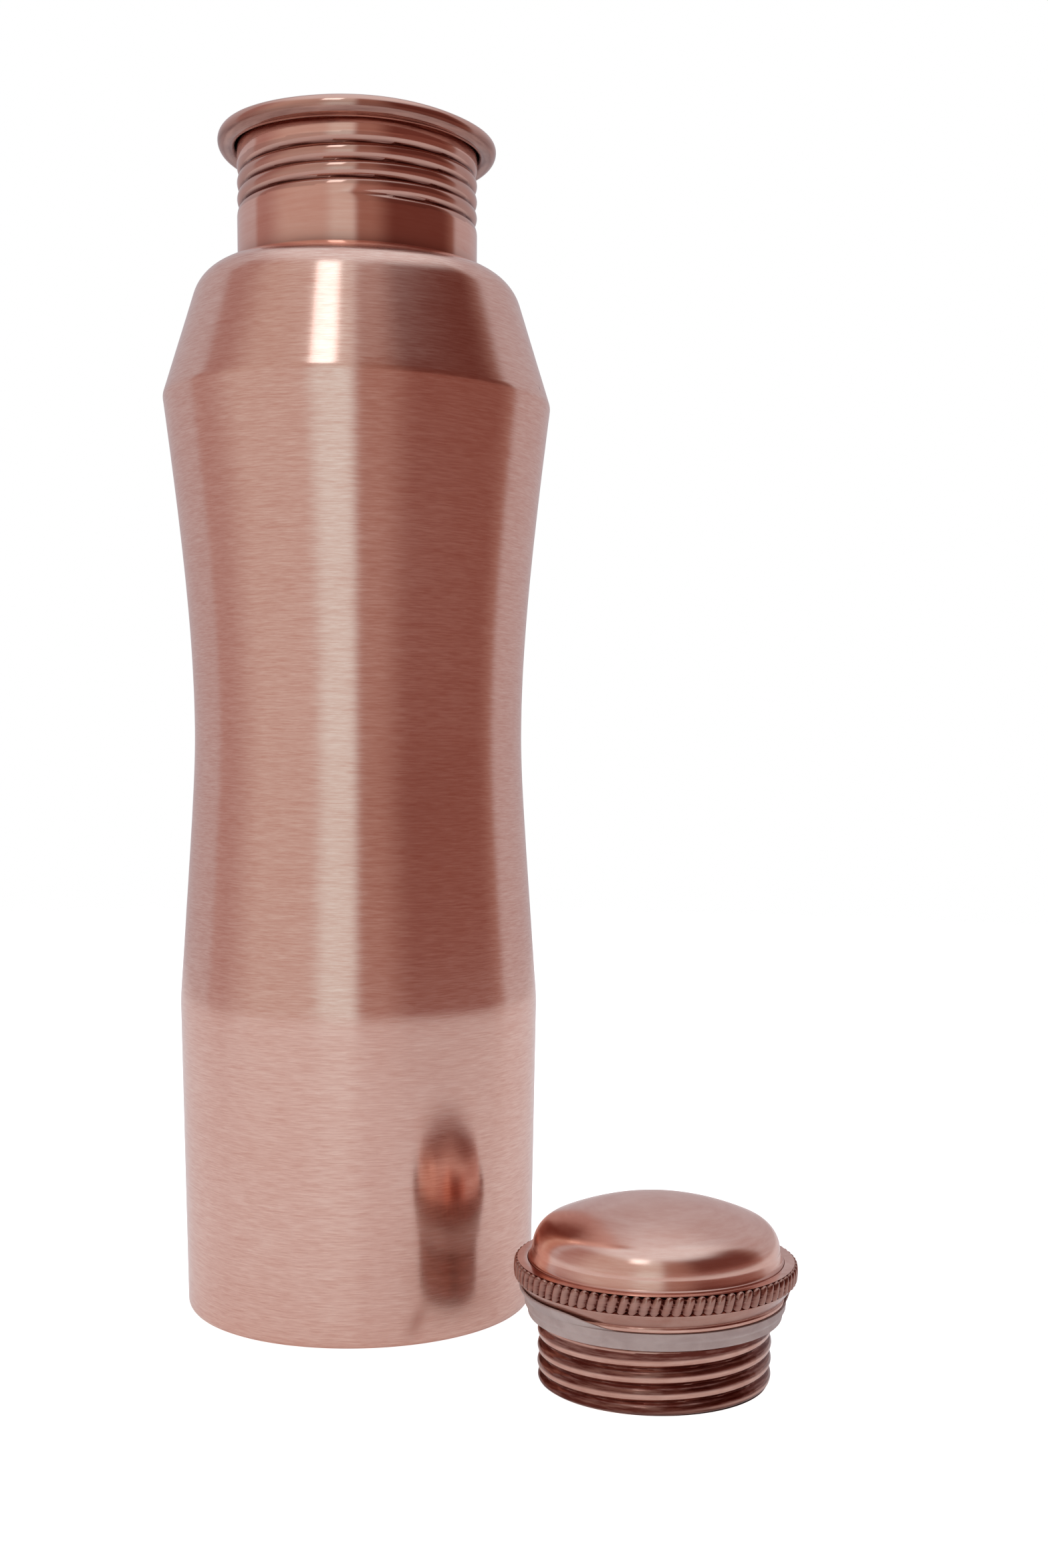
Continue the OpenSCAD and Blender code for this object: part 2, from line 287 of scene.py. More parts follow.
def makeCopper(name, look):
    material = bpy.data.materials.new(name)
    material.use_nodes = True
    tree = material.node_tree
    shader = tree.nodes["Principled BSDF"]
    shader.inputs["Metallic"].default_value = 1
    shader.inputs["Anisotropic"].default_value = look["brushed"]
    shader.inputs["Anisotropic Rotation"].default_value = 0.25
    tone = useGroup(tree, handledTone, Clean=look["clean"], Dulled=look["dulled"],
                    Size=look["cloudSize"], Amount=look["cloud"])
    marks = useGroup(tree, latheMarks, Round=look["round"], Up=look["up"], Coarse=look["coarse"])
    spots = useGroup(tree, specks, Size=look["speckSize"], Spread=look["speckSpread"])
    lined = mixColor(tree, look["lineTint"], tone.outputs["Color"],
                     mixColor(tree, marks.outputs["Shade"], look["lineDark"], look["lineLight"]))
    speckled = mathNode(tree, "MULTIPLY", spots.outputs["Mask"], look["speckDark"])
    spotted = mixColor(tree, speckled, lined, look["spot"])
    # painted shade: the mask from the shape, made uneven by the lathe marks, blends the shade tone into
    # creases, grooves and undersides; on the body it also lays in a small stain
    shadeStainMask = addNode(tree, "ShaderNodeAttribute", attribute_name="paintedShadeAndStain").outputs["Fac"]
    uneven = mathNode(tree, "MULTIPLY_ADD", marks.outputs["Shade"], 0.5, 0.75)
    shadedAndStained = mixColor(tree, mathNode(tree, "MULTIPLY", shadeStainMask, uneven, clamp=True), spotted, look["shadeAndStainTone"])
    join(tree, shadedAndStained, shader.inputs["Base Color"])
    rough = addNode(tree, "ShaderNodeMapRange")
    rough.inputs["To Min"].default_value = look["rough"] * 0.82
    rough.inputs["To Max"].default_value = look["rough"] * 1.18
    lineShare = mathNode(tree, "MULTIPLY", marks.outputs["Shade"], 0.4)
    join(tree, mathNode(tree, "MULTIPLY_ADD", tone.outputs["Mask"], 0.6, lineShare), rough.inputs["Value"])
    join(tree, rough.outputs[0], shader.inputs["Roughness"])
    bump = addNode(tree, "ShaderNodeBump")
    bump.inputs["Strength"].default_value = look["bump"]
    bump.inputs["Distance"].default_value = look["depth"] * mm
    pits = mathNode(tree, "MULTIPLY", spots.outputs["Mask"], 0.8)
    join(tree, mathNode(tree, "SUBTRACT", marks.outputs["Height"], pits), bump.inputs["Height"])
    join(tree, bump.outputs[0], shader.inputs["Normal"])
    grain = addNode(tree, "ShaderNodeTangent", direction_type="RADIAL", axis="Z")
    join(tree, grain.outputs[0], shader.inputs["Tangent"])
    return material


# in each look the shade tone is painted shade, blended in by the mask that the shape gives; on the body the
# same tone colours a small stain
satinCopper = makeCopper("satinCopper", {
    "clean": (0.94, 0.61, 0.51), "dulled": (0.88, 0.52, 0.42),
    "spot": (0.30, 0.10, 0.07), "shadeAndStainTone": (0.45, 0.16, 0.11),
    "lineDark": (0.74, 0.38, 0.30), "lineLight": (1.0, 0.72, 0.62),
    "rough": 0.19, "brushed": 0.6, "cloudSize": 28, "cloud": 0.45, "lineTint": 0.6,
    "round": 300, "up": 4000, "coarse": 1400, "bump": 0.35, "depth": 0.012,
    "speckSize": 75, "speckSpread": 0.045, "speckDark": 0.8})
polishedCopper = makeCopper("polishedCopper", {
    "clean": (0.92, 0.57, 0.47), "dulled": (0.82, 0.42, 0.33),
    "spot": (0.28, 0.09, 0.06), "shadeAndStainTone": (0.14, 0.04, 0.03),
    "lineDark": (0.78, 0.40, 0.31), "lineLight": (0.96, 0.64, 0.54),
    "rough": 0.12, "brushed": 0.5, "cloudSize": 60, "cloud": 0.55, "lineTint": 0.35,
    "round": 90, "up": 1400, "coarse": 500, "bump": 0.2, "depth": 0.015,
    "speckSize": 110, "speckSpread": 0.06, "speckDark": 0.8})
domeCopper = makeCopper("domeCopper", {
    "clean": (0.93, 0.60, 0.50), "dulled": (0.84, 0.46, 0.37),
    "spot": (0.30, 0.10, 0.07), "shadeAndStainTone": (0.36, 0.11, 0.08),
    "lineDark": (0.78, 0.42, 0.33), "lineLight": (0.97, 0.68, 0.58),
    "rough": 0.22, "brushed": 0.4, "cloudSize": 70, "cloud": 0.5, "lineTint": 0.45,
    "round": 160, "up": 1600, "coarse": 600, "bump": 0.3, "depth": 0.02,
    "speckSize": 140, "speckSpread": 0.05, "speckDark": 0.8})
turnedCopper = makeCopper("turnedCopper", {
    "clean": (0.92, 0.60, 0.50), "dulled": (0.66, 0.34, 0.26),
    "spot": (0.20, 0.07, 0.05), "shadeAndStainTone": (0.14, 0.035, 0.025),
    "lineDark": (0.55, 0.24, 0.18), "lineLight": (0.92, 0.60, 0.50),
    "rough": 0.17, "brushed": 0.5, "cloudSize": 120, "cloud": 0.7, "lineTint": 0.45,
    "round": 200, "up": 2600, "coarse": 900, "bump": 0.4, "depth": 0.02,
    "speckSize": 260, "speckSpread": 0.12, "speckDark": 0.7})


def makeSilicone():
    material = bpy.data.materials.new("paleSilicone")
    material.use_nodes = True
    tree = material.node_tree
    shader = tree.nodes["Principled BSDF"]
    shader.inputs["Subsurface Weight"].default_value = 0.25
    shader.inputs["Subsurface Radius"].default_value = (0.6, 0.5, 0.5)
    shader.inputs["Subsurface Scale"].default_value = 0.002
    tone = useGroup(tree, handledTone, Clean=(0.68, 0.56, 0.53), Dulled=(0.52, 0.40, 0.38),
                    Size=150, Amount=0.6)
    dust = useGroup(tree, specks, Size=420, Spread=0.14)
    dusty = mathNode(tree, "MULTIPLY", dust.outputs["Mask"], 0.6)
    join(tree, mixColor(tree, dusty, tone.outputs["Color"], (0.2, 0.15, 0.14)), shader.inputs["Base Color"])
    rough = addNode(tree, "ShaderNodeMapRange")
    rough.inputs["To Min"].default_value = 0.42
    rough.inputs["To Max"].default_value = 0.6
    join(tree, tone.outputs["Mask"], rough.inputs["Value"])
    join(tree, rough.outputs[0], shader.inputs["Roughness"])
    fine = addNode(tree, "ShaderNodeTexNoise")
    fine.inputs["Scale"].default_value = 1400
    join(tree, addNode(tree, "ShaderNodeTexCoord").outputs["Object"], fine.inputs["Vector"])
    bump = addNode(tree, "ShaderNodeBump")
    bump.inputs["Strength"].default_value = 0.2
    bump.inputs["Distance"].default_value = 0.03 * mm
    join(tree, fine.outputs["Fac"], bump.inputs["Height"])
    join(tree, bump.outputs[0], shader.inputs["Normal"])
    return material


paleSilicone = makeSilicone()
print("materials made")

bodyForm = {
    "crease": (40, 192), "waist": (34.5, 125), "hip": (38.3, 68), "side": 37.6, "foot": 2, "rim": 34,
    "upperSoft": 0.6, "lowerSoft": 0.2, "shoulderTop": 218.2, "shoulderArc": (24.96, 209.2),
    "shoulderRadius": 9, "shoulderStart": 17.97, "collar": 24.52, "collarDeep": 3.4, "wall": 0.6,
    "creaseSoft": 0.7, "columns": 240,
    "dent": 0.035, "ring": 0.006, "stainAt": -66}


def bodyLine(inward):
    waistR, waistZ = bodyForm["waist"]
    line = arc((bodyForm["side"] - bodyForm["foot"], bodyForm["foot"]), bodyForm["foot"] - inward, -90, 0, 8)
    hipR, hipZ = bodyForm["hip"]
    low = [(waistR + (hipR - waistR) * flare(t, bodyForm["lowerSoft"]) - inward, waistZ - (waistZ - hipZ) * t)
           for t in np.linspace(1, 0, 32)]
    creaseR, creaseZ = bodyForm["crease"]
    high = [(waistR + (creaseR - waistR) * flare(t, bodyForm["upperSoft"]) - inward,
             waistZ + (creaseZ - waistZ) * t)
            for t in np.linspace(0, 1, 36)][1:]
    top = arc(bodyForm["shoulderArc"], bodyForm["shoulderRadius"] - inward, bodyForm["shoulderStart"], 90, 16)
    bend = softCorners([(*high[-2], 0), (*high[-1], bodyForm["creaseSoft"]), (*top[0], 0)], 6)
    hip = softCorners([(*line[-1], 0), (*low[0], 2.5), (*low[2], 0)], 6)
    return line + hip[1:-1] + low[2:] + high[:-2] + bend + top[1:]


def bodyShape(angle, radius, height):
    # hand-spun sheet: slow dents round the body and faint rings up it
    away = np.clip((height - 4) / 12, 0, 1) * np.clip((214 - height) / 8, 0, 1)
    dents = bodyForm["dent"] * ripple(angle, height, 11, 9, 0.006)
    rings = bodyForm["ring"] * ripple(angle, height, 12, 2, 0.16)
    # painted shade in the crease where the shoulder meets the neck collar; below it a small stain near the
    # foot
    joint = 0.7 * np.exp(-np.abs(radius - bodyForm["collar"]) / 0.4) * (height > 190)
    side = (np.degrees(angle) - bodyForm["stainAt"] + 180) % 360 - 180
    stain = 0.55 * np.exp(-(side / 3.2) ** 2 - ((height - 5.5 - 0.5 * side) / 2.6) ** 2)
    return radius + away * (dents + rings), height, joint + stain


def makeBody():
    top = bodyForm["shoulderTop"]
    collar = bodyForm["collar"]
    collarLow = top - bodyForm["collarDeep"]
    outer = bodyLine(0)
    edge = softCorners([(*outer[-1], 0), (collar, top, 0.35), (collar, collarLow, 0.1),
                        (collar + bodyForm["wall"], collarLow, 0.1),
                        (collar + bodyForm["wall"], top - bodyForm["wall"], 0)])
    inner = [p for p in reversed(bodyLine(bodyForm["wall"])) if p[0] > collar + bodyForm["wall"]]
    line = closer([(bodyForm["rim"], bodyForm["wall"]), (bodyForm["rim"], 0)] + outer + edge[1:] + inner, 2)
    body = spin("bodyShell", line, bodyForm["columns"], shape=bodyShape)
    fit(body, "bottle", "body_shell", satinCopper)


baseForm = {"edge": 35.5, "flat": 3.5, "slope": 2.5, "rise": 2, "sheet": 0.8, "low": 0.6}


def makeBase():
    flatIn = baseForm["edge"] - baseForm["flat"]
    slopeIn = flatIn - baseForm["slope"]
    low, rise, sheet = baseForm["low"], baseForm["rise"], baseForm["sheet"]
    under = softCorners([(0, low + rise, 0), (slopeIn, low + rise, 1), (flatIn, low, 1),
                         (baseForm["edge"], low, 0)])
    over = softCorners([(baseForm["edge"], low + sheet, 0), (flatIn, low + sheet, 1),
                        (slopeIn, low + rise + sheet, 1), (0, low + rise + sheet, 0)])
    base = spin("basePlate", closer(under + over, 1.5), 144, ring=False)
    fit(base, "bottle", "base_plate", satinCopper)


neckForm = {
    "outer": 24.5, "bore": 23.7, "mouth": 24, "mouthLow": 239.3, "tail": 210.2,
    "lipCentre": 26.4, "lipHeight": 242.6,
    "lipRadius": 1.9, "mouthCentre": 25.9, "shoulder": 218.2,
    "pitch": 3.2, "start": 262, "startHeight": 227.3, "turns": 3.44,
    "groove": 0.45, "crown": 0.4, "ridge": 1.4, "columns": 240, "step": 0.25}


def threadPhase(angle, height, form):
    # distance from the groove's middle, from 0 to 0.5 of a pitch, and how strong the thread is there
    along = (height - form["startHeight"]) / form["pitch"]
    lead = ((np.degrees(angle) - form["start"]) % 360) / 360
    turns = np.round(along - lead) + lead
    turns = np.clip(turns, 0, form["turns"])
    away = np.abs(along - turns)
    fade = np.clip(np.minimum(turns, form["turns"] - turns) / 0.14, 0, 1)
    return away, fade * fade * (3 - 2 * fade)


def neckShape(angle, radius, height):
    form = neckForm
    away, fade = threadPhase(angle, height, form)
    outside = (np.abs(radius - form["outer"]) < 0.01) & (height > form["startHeight"] - 3)
    inside = (np.abs(radius - form["bore"]) < 0.01) & (height > form["startHeight"] - 3)
    groove = form["groove"] * np.exp(-(away / 0.12) ** 2)
    lobe = form["crown"] * np.exp(-(away / 0.30) ** 2)
    ridge = form["ridge"] * np.exp(-(away / 0.26) ** 4)
    # painted shade: the neck is darkened where the lip bead meets it, at its foot by the shoulder, a little
    # over the lip and more under it, and over the threaded band, most in each groove
    joint = np.hypot(radius - form["outer"], height - form["lipHeight"] + 0.2)
    foot = np.abs(height - form["shoulder"])
    onLip = radius > form["outer"] + 0.2
    underLip = onLip * (height > form["shoulder"]) * np.clip((form["lipHeight"] + 0.6 - height) / 1.5, 0, 1)
    paintedShadeAndStain = 1.1 * np.exp(-(joint / 1.3) ** 2) + 0.8 * np.exp(-foot / 1.3) + 0.15 * onLip + 0.5 * underLip
    paintedShadeAndStain = paintedShadeAndStain + outside * fade * (0.3 + 0.7 * np.exp(-(away / 0.10) ** 2))
    paintedShadeAndStain = np.clip(paintedShadeAndStain, 0, 1) * (radius > form["outer"] - 0.1)
    radius = radius - outside * fade * (groove + lobe) - inside * fade * ridge
    lip = np.clip((height - form["mouthLow"]) / 3, 0, 1)
    radius = radius + lip * 0.06 * ripple(angle, height, 21, 6, 0.01)
    height = height + lip * 0.12 * ripple(angle, height * 0, 22, 5, 0.01)
    return radius, height, paintedShadeAndStain


def makeNeck():
    form = neckForm
    outside = [(form["outer"], form["tail"]), (form["outer"], form["lipHeight"] - 0.3)]
    bead = arc((form["lipCentre"], form["lipHeight"]), form["lipRadius"], 190, 450, 34)
    lead = arc((form["mouthCentre"], form["lipHeight"]), form["lipRadius"], 90, 180, 12)
    inside = softCorners([(*lead[-1], 0), (form["mouth"], form["mouthLow"] + 0.2, 0.2),
                          (form["bore"], form["mouthLow"] - 0.2, 0.2),
                          (form["bore"], form["tail"], 0)])
    line = closer(outside + bead[1:] + lead + inside[1:], form["step"])
    neck = spin("neckTube", line, form["columns"], shape=neckShape)
    fit(neck, "bottle", "neck", polishedCopper)


makeBody()
makeBase()
makeNeck()
print("bottle made")

# the cap stands where its CAD pieces stand

domeLow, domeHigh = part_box("cap_dome")
capAxis = tuple((domeLow[k] + domeHigh[k]) / 2 / mm for k in (0, 1))

plugForm = {
    "crest": 22.8, "sleeve": 21.8, "wall": 1, "height": 12.9, "sleeveTop": 22.5, "floor": 1.4, "edge": 0.9,
    "pitch": 3.2, "start": 169, "startHeight": -1.6, "turns": 4.15, "groove": 0.55, "crown": 0.38,
    "columns": 240, "step": 0.18}


def plugShape(angle, radius, height):
    form = plugForm
    away, fade = threadPhase(angle, height, form)
    outside = radius > form["crest"] - 0.5
    groove = form["groove"] * np.exp(-(away / 0.14) ** 2)
    lobe = form["crown"] * np.exp(-(away / 0.32) ** 2)
    chatter = 0.012 * np.sin(310 * angle) * ripple(angle, height, 31, 7, 0.05)
    # painted shade under each groove, on the upper half of the ridge below it, and along the bottom edge and
    # the top under the gasket
    level = (height - form["startHeight"]) / form["pitch"] - ((np.degrees(angle) - form["start"]) % 360) / 360
    below = (-level) % 1
    plugShade = np.clip((0.52 - below) / 0.12, 0, 0.85) + np.exp(-(away / 0.07) ** 2)
    plugShade = plugShade + np.clip((1.3 - height) / 0.6, 0, 0.8) + np.clip((height - 12) / 0.5, 0, 1)
    paintedShadeAndStain = outside * np.clip(plugShade, 0, 1)
    return radius - outside * (fade * (groove + lobe) + chatter), height, paintedShadeAndStain


def finer(line, step):
    # close rows only on the threaded outside; longer ones where nothing changes
    out = [line[0]]
    for a, b in zip(line[:-1], line[1:]):
        threaded = min(a[0], b[0]) > plugForm["crest"] - 0.6 and abs(b[1] - a[1]) > 0.3
        count = max(1, math.ceil(math.dist(a, b) / (step if threaded else 1.5)))
        out += divided(a, b, count)
    return out


def makePlug():
    form = plugForm
    wall = form["sleeve"] - form["wall"]
    outside = arc((form["crest"] - form["edge"], form["edge"]), form["edge"], -90, 0, 10)
    upper = softCorners([(form["crest"], form["edge"], 0), (form["crest"], form["height"] - 0.5, 0.4),
                         (form["crest"] - 0.4, form["height"], 0.1), (form["sleeve"], form["height"], 0.1),
                         (form["sleeve"], form["sleeveTop"], 0.1), (wall, form["sleeveTop"], 0.1),
                         (wall, form["floor"], 0.8), (0, form["floor"], 0)])
    line = [(0, 0.25), (12, 0.22), (19, 0.05)] + outside + upper[1:]
    plug = spin("capPlug", finer(line, form["step"]), form["columns"], capAxis, plugShape, ring=False)
    fit(plug, "cap", "cap_plug", turnedCopper)


gasketForm = {
    "hole": 21.9, "low": 13, "high": 16.5, "narrow": 24.7, "wide": 25.3, "skirt": 26.5, "skirtTop": 18.7,
    "lowPoint": -65, "lowHalf": 40, "riseOver": 32, "columns": 240}


def gasketShape(angle, radius, height):
    # a soft ring that has been pushed up outside the band, but not at the front
    form = gasketForm
    away = np.abs((np.degrees(angle) - form["lowPoint"] + 180) % 360 - 180)
    up = np.clip((away - form["lowHalf"]) / form["riseOver"], 0.04, 1)
    up = up * up * (3 - 2 * up)
    skirt = height > form["high"]
    radius = np.where(skirt, form["wide"] - 0.2 + (radius - form["wide"] + 0.2) * up, radius)
    height = np.where(skirt, form["high"] + (height - form["high"]) * up, height)
    out = np.clip((radius - 23) / 2, 0, 1)
    bulge = 0.05 * ripple(angle, height * 0, 41, 5, 0.02)
    sag = 0.05 * ripple(angle, height * 0, 42, 4, 0.01)
    return radius + out * bulge, height + out * sag, np.zeros_like(radius)


def makeGasket():
    form = gasketForm
    middle = (form["low"] + form["high"]) / 2
    line = softCorners([(form["hole"], middle, 0), (form["hole"], form["low"], 0.2),
                        (form["narrow"], form["low"], 0.5),
                        (form["narrow"] + 0.1, middle - 0.15, 0.3), (form["wide"], middle + 0.25, 0.3),
                        (form["wide"] + 0.1, form["high"], 0.1), (form["skirt"], form["skirtTop"] - 0.3, 0.4),
                        (form["skirt"] - 0.3, form["skirtTop"], 0.3),
                        (form["skirt"] - 0.65, form["skirtTop"] - 0.1, 0.3),
                        (form["wide"] + 0.15, form["high"] + 0.75, 0.1),
                        (form["wide"] - 0.1, form["high"] - 0.02, 0.1),
                        (form["hole"], form["high"] - 0.02, 0.2)])
    gasket = spin("gasketRing", closer(line, 0.5), form["columns"], capAxis, gasketShape)
    fit(gasket, "gasket", "gasket", paleSilicone)


flangeForm = {
    "sleeve": 21.8, "low": 16.6, "mill": 20.3, "ledge": 24, "outer": 27.5, "bandLow": 25.1, "bandHigh": 26.75,
    "domeSeat": 24.85, "seat": 22.5, "lobes": 84, "lobeDeep": 0.55, "lean": 0.4, "perLobe": 8}


def flangeShape(angle, radius, height):
    form = flangeForm
    middle = (form["mill"] + form["ledge"]) / 2
    half = (form["ledge"] - form["mill"]) / 2
    edge = (radius > form["outer"] - 0.62) & (height > form["mill"] - 0.01)
    up = np.clip((height - middle) / half, -1, 1)
    phase = (form["lobes"] * angle / turn - form["lean"] * 0.5 * up) % 1
    gap = np.abs(2 * phase - 1)
    lobe = form["lobeDeep"] * gap ** 2 * (1 + 0.2 * ripple(angle, height, 61, 40, 0.1))
    pillow = 0.3 * np.abs(up) ** 3
    # painted shade: the milled edge is darkened all over and most in the gaps between lobes, and the band
    # under it a little
    paintedShadeAndStain = edge * np.clip(0.5 + 0.6 * gap ** 3, 0, 1)
    onBand = (radius < form["outer"] - 0.7) * (height > form["low"] + 0.7) * (height < form["mill"])
    paintedShadeAndStain = paintedShadeAndStain + 0.3 * onBand
    radius = radius - edge * (lobe + pillow)
    height = height - edge * up * half * 0.3 * gap ** 2
    return radius, height, np.clip(paintedShadeAndStain, 0, 1)


def makeFlange():
    form = flangeForm
    edgeRows = [(form["outer"], z) for z in np.linspace(form["mill"] + 0.25, form["ledge"] - 0.25, 15)]
    band = softCorners([(form["sleeve"], form["low"], 0), (form["bandLow"], form["low"], 0.15),
                        (form["bandLow"] + 0.12, form["low"] + 0.4, 0.3),
                        (form["bandLow"] + 0.1, form["low"] + 0.8, 0.15),
                        (form["bandLow"] - 0.1, form["low"] + 1, 0.1),
                        (form["bandHigh"], form["mill"] - 0.15, 0.2),
                        (form["bandHigh"] + 0.05, form["mill"], 0)], 5)
    under = [(form["outer"] - 0.55, form["mill"]), (form["outer"] - 0.2, form["mill"] + 0.06)]
    over = softCorners([(form["outer"] - 0.2, form["ledge"] - 0.06, 0),
                        (form["outer"] - 0.6, form["ledge"], 0.2),
                        (form["domeSeat"], form["ledge"], 0.1), (form["domeSeat"], form["seat"], 0.1),
                        (form["sleeve"], form["seat"], 0)], 4)
    line = closer(band + under + edgeRows + over, 1.2)
    flange = spin("capFlange", line, form["lobes"] * form["perLobe"], capAxis, flangeShape)
    fit(flange, "cap", "cap_flange", turnedCopper)


domeForm = {
    "foot": 24.8, "seat": 22.5, "ledge": 24, "lean": 0.8, "side": 2, "shoulder": 6, "shoulderTurn": 66,
    "crown": 12, "sheet": 0.8, "columns": 192}


def domeLine(inward):
    form = domeForm
    sideR = form["foot"] - form["lean"]
    sideTop = form["ledge"] + form["side"]
    turned = math.radians(form["shoulderTurn"])
    edgeR = sideR - form["shoulder"] * (1 - math.cos(turned))
    edgeZ = sideTop + form["shoulder"] * math.sin(turned)
    crownTop = form["ledge"] + form["crown"]
    line = arc((sideR - form["shoulder"], sideTop), form["shoulder"] - inward, 0, form["shoulderTurn"], 22)
    line += [(edgeR * t, crownTop - inward - (crownTop - edgeZ) * t * t) for t in np.linspace(0.94, 0, 22)]
    return line


def domeShape(angle, radius, height):
    # painted shade in the crease where the dome meets the ledge
    paintedShadeAndStain = 0.7 * np.exp(-np.abs(height - domeForm["ledge"]) / 0.4)
    return radius + 0.03 * np.clip(radius / 10, 0, 1) * ripple(angle, height, 51, 5, 0.02), height, paintedShadeAndStain


def makeDome():
    form = domeForm
    outer = domeLine(0)
    foot = softCorners([(form["foot"], form["seat"], 0), (form["foot"], form["ledge"] + 0.15, 0.1),
                        (form["foot"] - 0.35, form["ledge"] + 0.35, 0.5), (*outer[0], 1.2), (*outer[1], 0)])
    inner = list(reversed(domeLine(form["sheet"])))
    wall = form["foot"] - form["sheet"]
    skirt = [(wall, form["ledge"]), (wall, form["seat"]), (form["foot"], form["seat"])]
    line = foot[:-1] + outer[1:] + inner + skirt
    dome = spin("capDome", closer(line, 1.2), form["columns"], capAxis, domeShape, ring=False)
    fit(dome, "cap", "cap_dome", domeCopper)


makePlug()
makeGasket()
makeFlange()
makeDome()
print("cap made")

studio = {
    "floorSize": 2.2, "floorTone": (0.86, 0.88, 0.90), "floorRough": 0.4, "floorGlow": 0.2, "shownGlow": 0.8,
    "fadeFrom": 0.55, "fadeTo": 1.05, "backdrop": (1.0, 1.0, 1.0),
    "window": (-18, 46), "windowAway": 1.8, "windowWide": 0.4, "windowTall": 0.5, "windowPower": 1.0}


def makeFloor():
    mesh = bpy.data.meshes.new("floor")
    work = bmesh.new()
    bmesh.ops.create_circle(work, cap_ends=True, segments=96, radius=studio["floorSize"] / 2)
    work.to_mesh(mesh)
    work.free()
    floor = bpy.data.objects.new("floor", mesh)
    bpy.context.scene.collection.objects.link(floor)
    material = bpy.data.materials.new("paleFloor")
    material.use_nodes = True
    tree = material.node_tree
    shader = tree.nodes["Principled BSDF"]
    shader.inputs["Base Color"].default_value = (*studio["floorTone"], 1)
    shader.inputs["Roughness"].default_value = studio["floorRough"]
    shader.inputs["Emission Color"].default_value = (1, 1, 1, 1)
    seen = addNode(tree, "ShaderNodeLightPath").outputs["Is Camera Ray"]
    far = addNode(tree, "ShaderNodeVectorMath", operation="LENGTH")
    join(tree, addNode(tree, "ShaderNodeTexCoord").outputs["Object"], far.inputs[0])
    fade = addNode(tree, "ShaderNodeMapRange", interpolation_type="SMOOTHSTEP")
    fade.inputs["From Min"].default_value = studio["fadeFrom"]
    fade.inputs["From Max"].default_value = studio["fadeTo"]
    join(tree, far.outputs["Value"], fade.inputs["Value"])
    glow = mathNode(tree, "MULTIPLY_ADD", seen, studio["shownGlow"], studio["floorGlow"])
    join(tree, glow, shader.inputs["Emission Strength"])
    clear = addNode(tree, "ShaderNodeBsdfTransparent")
    both = addNode(tree, "ShaderNodeMixShader")
    join(tree, fade.outputs[0], both.inputs[0])
    join(tree, shader.outputs[0], both.inputs[1])
    join(tree, clear.outputs[0], both.inputs[2])
    join(tree, both.outputs[0], tree.nodes["Material Output"].inputs["Surface"])
    mesh.materials.append(material)


# the room round the bottle: a panel has its middle bearing from the front, to the right, half its width
# and the softness of its edges, in degrees, and one tone near the table and one above it
room = {
    "walls": {"low": (0.50, 0.45, 0.47), "high": (0.50, 0.47, 0.50)},
    "dimWall": {"middle": -55, "half": 50, "soft": 8,
        "low": (0.45, 0.33, 0.32), "high": (0.40, 0.27, 0.26)},
    "lightWall": {"middle": -45, "half": 32, "soft": 34,
        "low": (0.58, 0.52, 0.50), "high": (0.55, 0.47, 0.44)},
    "tallWindow": {"middle": -8, "half": 13, "soft": 14,
        "low": (0.72, 0.84, 0.86), "high": (0.62, 0.62, 0.60)},
    "dimSide": {"middle": 58, "half": 53, "soft": 8,
        "low": (0.38, 0.24, 0.21), "high": (0.32, 0.19, 0.16)},
    "darkCorner": {"middle": 68, "half": 38, "soft": 26,
        "low": (0.25, 0.11, 0.09), "high": (0.14, 0.05, 0.04)},
    "ceiling": (0.75, 0.82, 0.88), "highFrom": 4, "highTo": 16, "ceilingFrom": 45, "ceilingTo": 70}


def panelMask(tree, bearing, panel):
    away = mathNode(tree, "ABSOLUTE", mathNode(tree, "SUBTRACT", bearing, panel["middle"]))
    edge = addNode(tree, "ShaderNodeMapRange", interpolation_type="SMOOTHSTEP")
    edge.inputs["From Min"].default_value = panel["half"] - panel["soft"] / 2
    edge.inputs["From Max"].default_value = panel["half"] + panel["soft"] / 2
    edge.inputs["To Min"].default_value = 1
    edge.inputs["To Max"].default_value = 0
    join(tree, away, edge.inputs["Value"])
    return edge.outputs[0]


def between(tree, rise, start, end):
    # 0 below the first angle of rise and 1 above the second, in degrees
    blend = addNode(tree, "ShaderNodeMapRange", interpolation_type="SMOOTHSTEP")
    blend.inputs["From Min"].default_value = math.sin(math.radians(start))
    blend.inputs["From Max"].default_value = math.sin(math.radians(end))
    join(tree, rise, blend.inputs["Value"])
    return blend.outputs[0]


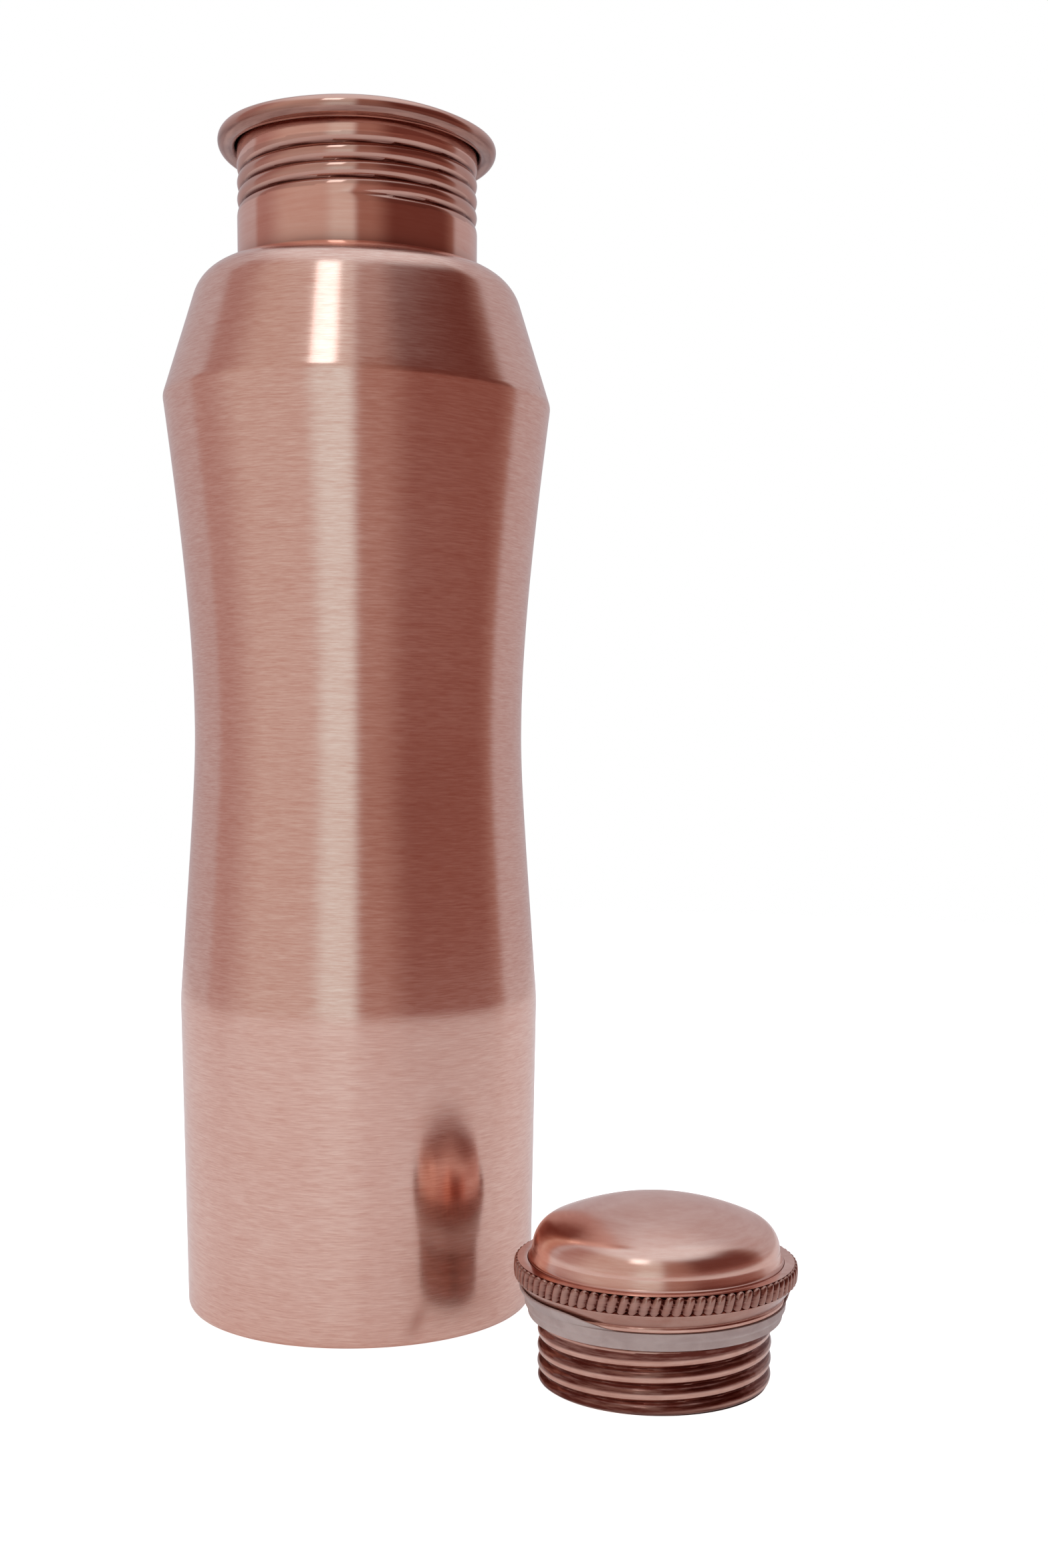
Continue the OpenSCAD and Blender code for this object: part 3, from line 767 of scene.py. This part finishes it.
def makeRoom():
    world = bpy.data.worlds.new("studioRoom")
    bpy.context.scene.world = world
    world.use_nodes = True
    tree = world.node_tree
    way = addNode(tree, "ShaderNodeSeparateXYZ")
    join(tree, addNode(tree, "ShaderNodeTexCoord").outputs["Generated"], way.inputs[0])
    bearing = mathNode(tree, "ARCTAN2", way.outputs[0], mathNode(tree, "MULTIPLY", way.outputs[1], -1))
    bearing = mathNode(tree, "DEGREES", bearing)
    rise = way.outputs[2]
    high = between(tree, rise, room["highFrom"], room["highTo"])
    walls = mixColor(tree, high, room["walls"]["low"], room["walls"]["high"])
    for name in ("dimWall", "lightWall", "tallWindow", "dimSide", "darkCorner"):
        tone = mixColor(tree, high, room[name]["low"], room[name]["high"])
        walls = mixColor(tree, panelMask(tree, bearing, room[name]), walls, tone)
    overhead = between(tree, rise, room["ceilingFrom"], room["ceilingTo"])
    walls = mixColor(tree, overhead, walls, room["ceiling"])
    seen = addNode(tree, "ShaderNodeLightPath").outputs["Is Camera Ray"]
    shown = mixColor(tree, seen, walls, studio["backdrop"])
    join(tree, shown, tree.nodes["Background"].inputs["Color"])


def aimed(name, place, target):
    data = bpy.data.lights.new(name, "AREA")
    light = bpy.data.objects.new(name, data)
    light.location = place
    light.rotation_euler = (Vector(target) - Vector(place)).to_track_quat("-Z", "Y").to_euler()
    bpy.context.scene.collection.objects.link(light)
    return light


def makeLights():
    bearing, rise = (math.radians(a) for a in studio["window"])
    away = studio["windowAway"]
    level = away * math.cos(rise)
    place = (level * math.sin(bearing), -level * math.cos(bearing), 0.2 + away * math.sin(rise))
    window = aimed("windowLight", place, (0, 0, 0.15))
    window.data.shape = "RECTANGLE"
    window.data.size = studio["windowWide"]
    window.data.size_y = studio["windowTall"]
    window.data.energy = studio["windowPower"]
    window.data.color = (0.72, 0.92, 1.0)


view = {
    "place": (0.0467, -0.3957, 0.1205), "down": 7.73, "roll": 0.72, "lens": 42.06, "sensor": 36,
    "shiftX": -0.0324, "shiftY": 0.1394, "near": 0.01, "far": 50}


def makeCamera():
    data = bpy.data.cameras.new("camera")
    camera = bpy.data.objects.new("camera", data)
    bpy.context.scene.collection.objects.link(camera)
    data.lens = view["lens"]
    data.sensor_width = view["sensor"]
    data.shift_x = view["shiftX"]
    data.shift_y = view["shiftY"]
    data.clip_start = view["near"]
    data.clip_end = view["far"]
    tilt = Matrix.Rotation(math.radians(90 - view["down"]), 4, "X")
    roll = Matrix.Rotation(math.radians(view["roll"]), 4, "Z")
    camera.matrix_world = Matrix.Translation(view["place"]) @ tilt @ roll
    bpy.context.scene.camera = camera


makeFloor()
makeRoom()
makeLights()
makeCamera()
bpy.context.scene.view_settings.view_transform = "Standard"
print("studio ready")
